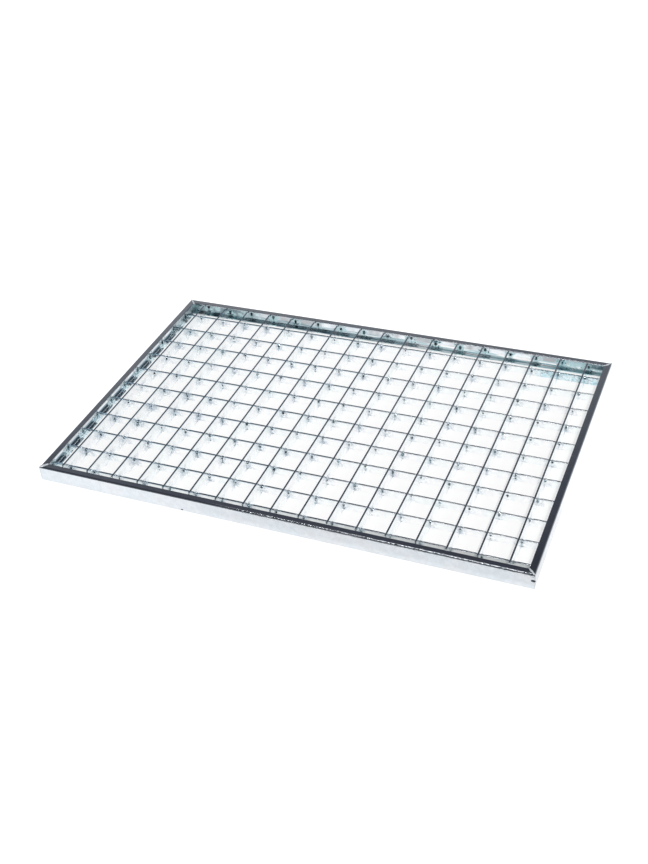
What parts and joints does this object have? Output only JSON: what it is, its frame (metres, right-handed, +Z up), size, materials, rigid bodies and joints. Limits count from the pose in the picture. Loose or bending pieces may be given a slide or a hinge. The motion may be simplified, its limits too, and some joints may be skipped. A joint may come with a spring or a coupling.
{
  "type": "steel grating panel",
  "caption": "Flat zinc-plated steel grating panel: upright bearing bars and lower cross bars in a square mesh, edged by four mitred channel rails.",
  "frame": {"origin": "middle of the underside, where the panel rests", "axes": "+X along the length, the way the cross bars run; +Y along the width, the way the bearing bars run; +Z up out of the walking surface"},
  "size_m": [0.59, 0.39, 0.02],
  "materials": {
    "zinc_bars": "bright zinc plate, bluish passivated, mirror-like with stained patches at the crossings",
    "zinc_rails": "bright zinc plate over folded sheet, smooth and mirror-like"
  },
  "bodies": {
    "root": {"bar_grid": "zinc_bars", "rail_front": "zinc_rails", "rail_back": "zinc_rails", "rail_left": "zinc_rails", "rail_right": "zinc_rails"}
  },
  "joints": []
}
